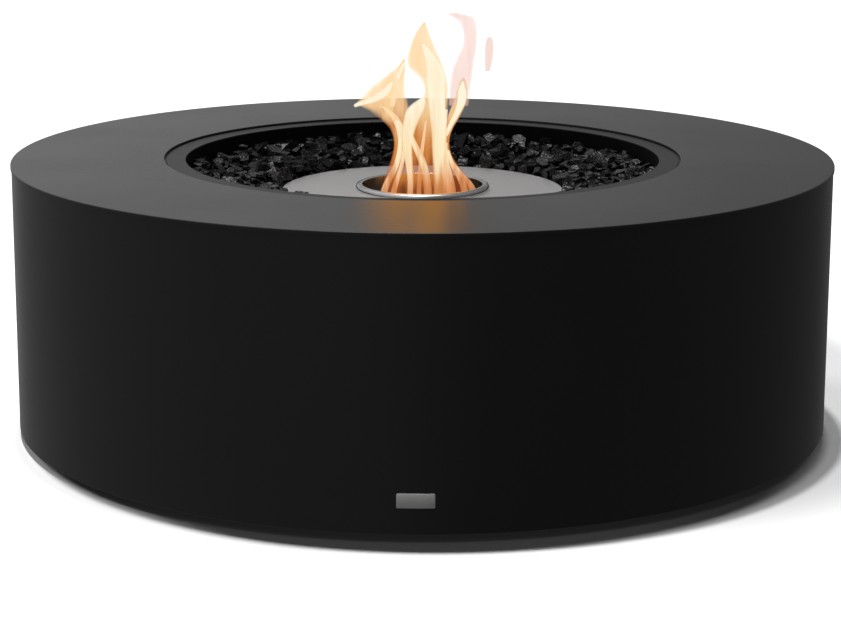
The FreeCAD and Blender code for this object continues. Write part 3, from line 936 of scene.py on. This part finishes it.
flame("flame_veils", VEILS, flame_look(
    "veil_glow", colours=[(0.45, 0.07, 0.015), (0.85, 0.3, 0.07), (1.0, 0.66, 0.33)],
    covers=[0.3, 0.52, 0.75], mirrored=1.3))
flame("flame_haze", HAZE, flame_look(
    "haze_glow", colours=[(0.76, 0.47, 0.37), (0.76, 0.47, 0.37), (0.78, 0.5, 0.42)],
    covers=[0.1, 0.2, 0.5], mirrored=0.2))
flame("flame_strands", STRANDS, flame_look(
    "strand_glow", colours=[(0.8, 0.25, 0.05), (1.0, 0.85, 0.55), (1.0, 0.93, 0.72)],
    covers=[0.5, 0.95, 0.9], mirrored=1.3))

# %% [markdown]
# ## Floor and light
# The studio is white, but what a dark gloss shows is its surroundings, so the world has two
# faces. It could be lamps in a white room, but a few smooth steps of light are easier to
# tune. The camera sees plain white. The object sees soft panels of light: bright behind
# and to the left, weaker to the right, dark low down in front, and a small strong one
# overhead that the eased edges and the glass pick up. Four suns that shine only on the floor
# make it just white, so that the pale flame still shows against it. Two stand high, a little
# behind the table, and give its foot a thin dark shadow in front. Two stand low behind it and
# reach under its left and right edges. A soft shadow to the right of the table is painted
# into the paper's colour.

# %% World
# Each step of light: the places where it starts and ends, then its strength before and after
LEFT_TO_RIGHT = (-0.3, 0.3, 1.0, 0.39)
HORIZON = (-0.03, 0.06, 0.0, 1.0)
WALL_FOOT = (0.08, 0.3, 0.62, 0.36)
WALL_HEAD = (0.35, 0.7, 0.0, 0.25)
CEILING = (0.86, 0.96, 0.0, 1.5)
LAMP = (0.955, 0.98, 0.0, 7.0)
FLOOR_BEHIND = (0.78, 1.0, 0.0, 0.2)
FLOOR_IN_FRONT = (0.0, -0.9, 0.0, 0.03)
FLOOR_LIGHT = 0.165
FLOOR_EVEN = 0.09

world = bpy.data.worlds.new("studio")
bpy.context.scene.world = world
sky = Look(world)
way = sky.node("ShaderNodeTexCoord", out="Generated")
east = sky.node("ShaderNodeSeparateXYZ", None, {0: way}, "X")
north = sky.node("ShaderNodeSeparateXYZ", None, {0: way}, "Y")
up = sky.node("ShaderNodeSeparateXYZ", None, {0: way}, "Z")
side = sky.between(east, *LEFT_TO_RIGHT)
walls = sky.between(up, *WALL_FOOT) + sky.between(up, *WALL_HEAD)
ceiling = sky.between(up, *CEILING)
lamp = sky.between(up, *LAMP)
above = side * (walls + ceiling + lamp)
behind = sky.between(north, *FLOOR_BEHIND)
in_front = sky.between(north, *FLOOR_IN_FRONT)
below = (side + FLOOR_EVEN) * (FLOOR_LIGHT + behind - in_front)
panel = below + (above - below) * sky.between(up, *HORIZON)
seen = sky.node("ShaderNodeLightPath", out="Is Camera Ray")
strength = panel + seen * (1.0 - panel)
light = sky.node("ShaderNodeBackground", None, {"Color": (1, 1, 1, 1), "Strength": strength})
sky.node("ShaderNodeOutputWorld", None, {"Surface": light})
print("sky has", len(world.node_tree.nodes), "nodes")

# %% Floor and the suns that only it sees
FLOOR_HALF = 60.0
FLOOR_SHADE = 0.05
FLOOR_GLOW = 0.01
# Place, reach and depth of the soft shadow that is painted into the paper's colour
SHADE_PLACE = (0.314, 0.137, 0)
SHADE_REACH = (0.372, 0.64, 1)
SHADE_FULL = 0.75
SHADE_DEEP = 0.4

bm = bmesh.new()
bmesh.ops.create_grid(bm, x_segments=1, y_segments=1, size=FLOOR_HALF)
paper = new_look("studio_floor")
patch = paper.node(
    "ShaderNodeVectorMath", {"operation": "SUBTRACT"}, {0: paper.place(), 1: SHADE_PLACE})
share = paper.node("ShaderNodeVectorMath", {"operation": "DIVIDE"}, {0: patch, 1: SHADE_REACH})
away = paper.node("ShaderNodeVectorMath", {"operation": "LENGTH"}, {0: share}, "Value")
# Painted shadow: the paper's colour darkens towards black in a soft ellipse right of and behind
# the table.
painted_shadow = paper.between(away, SHADE_FULL, 1.0, SHADE_DEEP, 0.0)
paper.surface({
    "Base Color": paper.mixed(painted_shadow, (FLOOR_SHADE, FLOOR_SHADE, FLOOR_SHADE, 1), (0, 0, 0, 1)),
    "Roughness": 1.0,
    "Specular IOR Level": 0.0,
    "Emission Color": (1, 1, 1, 1),
    "Emission Strength": FLOOR_GLOW})
floor = piece("studio_floor", bm, paper.owner, smooth=False)
floor.visible_glossy = False
floor.visible_diffuse = False
only_floor = bpy.data.collections.new("floor_only")
only_floor.objects.link(floor)


def floor_sun(name, share, lean, spread):
    """Sun for the floor alone. Lean is how far right and behind it stands, to a height of 1."""
    way_up = Vector((*lean, 1)).normalized()
    data = bpy.data.lights.new(name, "SUN")
    data.energy = share * math.pi / (FLOOR_SHADE * way_up.z)
    data.angle = math.radians(spread)
    made = bpy.data.objects.new(name, data)
    bpy.context.scene.collection.objects.link(made)
    made.rotation_euler = way_up.to_track_quat("Z", "Y").to_euler()
    made.light_linking.receiver_collection = only_floor


floor_sun("sun_high_left", share=0.715, lean=(-0.058, 0.101), spread=2.3)
floor_sun("sun_high_behind", share=0.3, lean=(0.012, 0.105), spread=2.6)
floor_sun("sun_low_left", share=0.19, lean=(-1.9, 1.8), spread=16.0)
floor_sun("sun_low_right", share=0.08, lean=(2.4, 4.9), spread=16.0)
print("floor and", len(bpy.data.lights), "suns ready")
